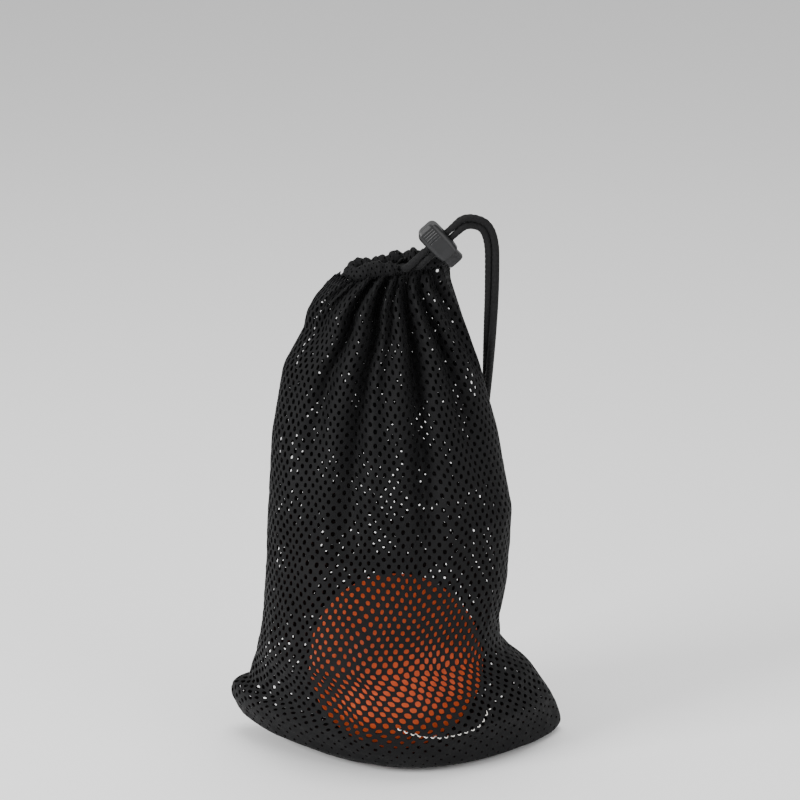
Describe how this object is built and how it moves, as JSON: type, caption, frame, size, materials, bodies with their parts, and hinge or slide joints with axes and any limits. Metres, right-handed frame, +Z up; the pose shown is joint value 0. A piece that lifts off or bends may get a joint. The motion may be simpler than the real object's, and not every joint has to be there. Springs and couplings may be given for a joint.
{
  "type": "drawstring mesh bag",
  "caption": "Standing mesh bag with its mouth drawn shut by a doubled drawstring and a spring cord lock, holding a ball inside.",
  "frame": {"origin": "on the floor at the middle of the bag's base, under the middle of its width and depth", "axes": "+Z up, +X to the right as the bag is faced, -Y towards the viewer; the cord lock hangs at the front right of the mouth"},
  "size_m": [0.166, 0.0925, 0.2752],
  "materials": {
    "mesh": "black knitted mesh with hexagonal holes",
    "seam_tape": "black sewn seam allowance",
    "hem": "black doubled mesh hem",
    "thread": "black sewing thread",
    "cord": "black braided cord",
    "lock_plastic": "satin black moulded plastic",
    "spring_steel": "bare spring wire",
    "ball_skin": "matte orange moulded skin",
    "pale_thread": "off-white twisted thread"
  },
  "bodies": {
    "bag": {"front_panel": "mesh", "back_panel": "mesh", "left_side_seam": "seam_tape", "right_side_seam": "seam_tape", "bottom_seam": "seam_tape", "hem_casing_front": "hem", "hem_casing_back": "hem", "hem_stitches_front": "thread", "hem_stitches_back": "thread", "drawstring_loop": "cord", "tail_strand_outer": "cord", "tail_strand_inner": "cord", "tail_knot": "cord", "pale_thread": "pale_thread"},
    "cord_lock": {"lock_barrel": "lock_plastic", "lock_spring": "spring_steel"},
    "lock_button": {"lock_plunger": "lock_plastic"},
    "ball": {"ball": "ball_skin"}
  },
  "joints": [
    {"name": "lock_slide", "type": "slide", "parent": "bag", "child": "cord_lock", "axis": [0.7349, 0, 0.6782], "range_m": [0, 0.004]},
    {"name": "button_press", "type": "slide", "parent": "cord_lock", "child": "lock_button", "axis": [-0.6782, 0, 0.7349], "range_m": [0, 0.0024], "stiffness_N_per_m": 400, "springref_m": -0.004, "deforming": ["lock_spring"]},
    {"name": "ball_spin", "type": "hinge", "parent": "bag", "child": "ball", "pos_m": [0, 0, 0.0457], "axis": [0, 0, 1], "continuous": true}
  ]
}
